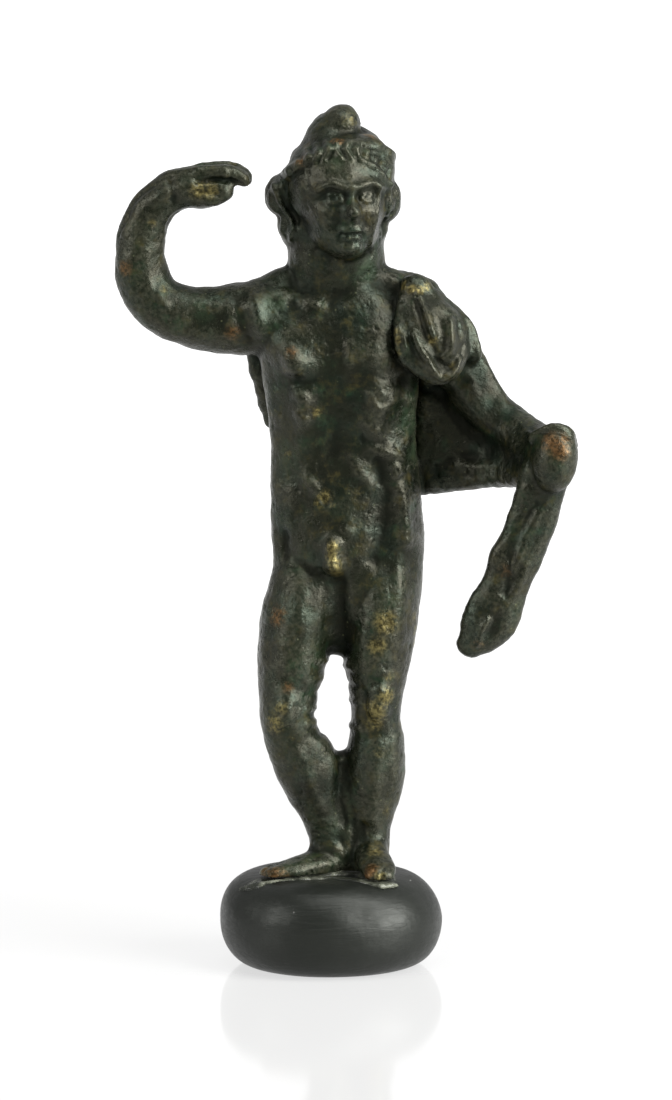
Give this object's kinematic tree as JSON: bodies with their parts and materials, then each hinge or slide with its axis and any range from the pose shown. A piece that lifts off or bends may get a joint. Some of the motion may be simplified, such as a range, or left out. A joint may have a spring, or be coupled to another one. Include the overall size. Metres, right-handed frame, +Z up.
{
  "type": "bronze statuette",
  "caption": "Small cast bronze figure of a standing man in a pointed cap and a cloak, one arm raised, fixed upright on a rounded black base.",
  "frame": {"origin": "centre of the base's flat underside, on the surface that it stands on", "axes": "+Z up; the figure faces -Y, so its left hand and the hanging end of the cloak are towards +X"},
  "size_m": [0.0459, 0.0213, 0.0869],
  "materials": {
    "patinated_bronze": "dark green-black patina, waxed, semi-gloss, worn to golden metal on the high points",
    "black_putty": "satin black, smooth, faintly streaked by hand"
  },
  "bodies": {
    "root": {"figure": "patinated_bronze", "base": "black_putty"}
  },
  "joints": []
}
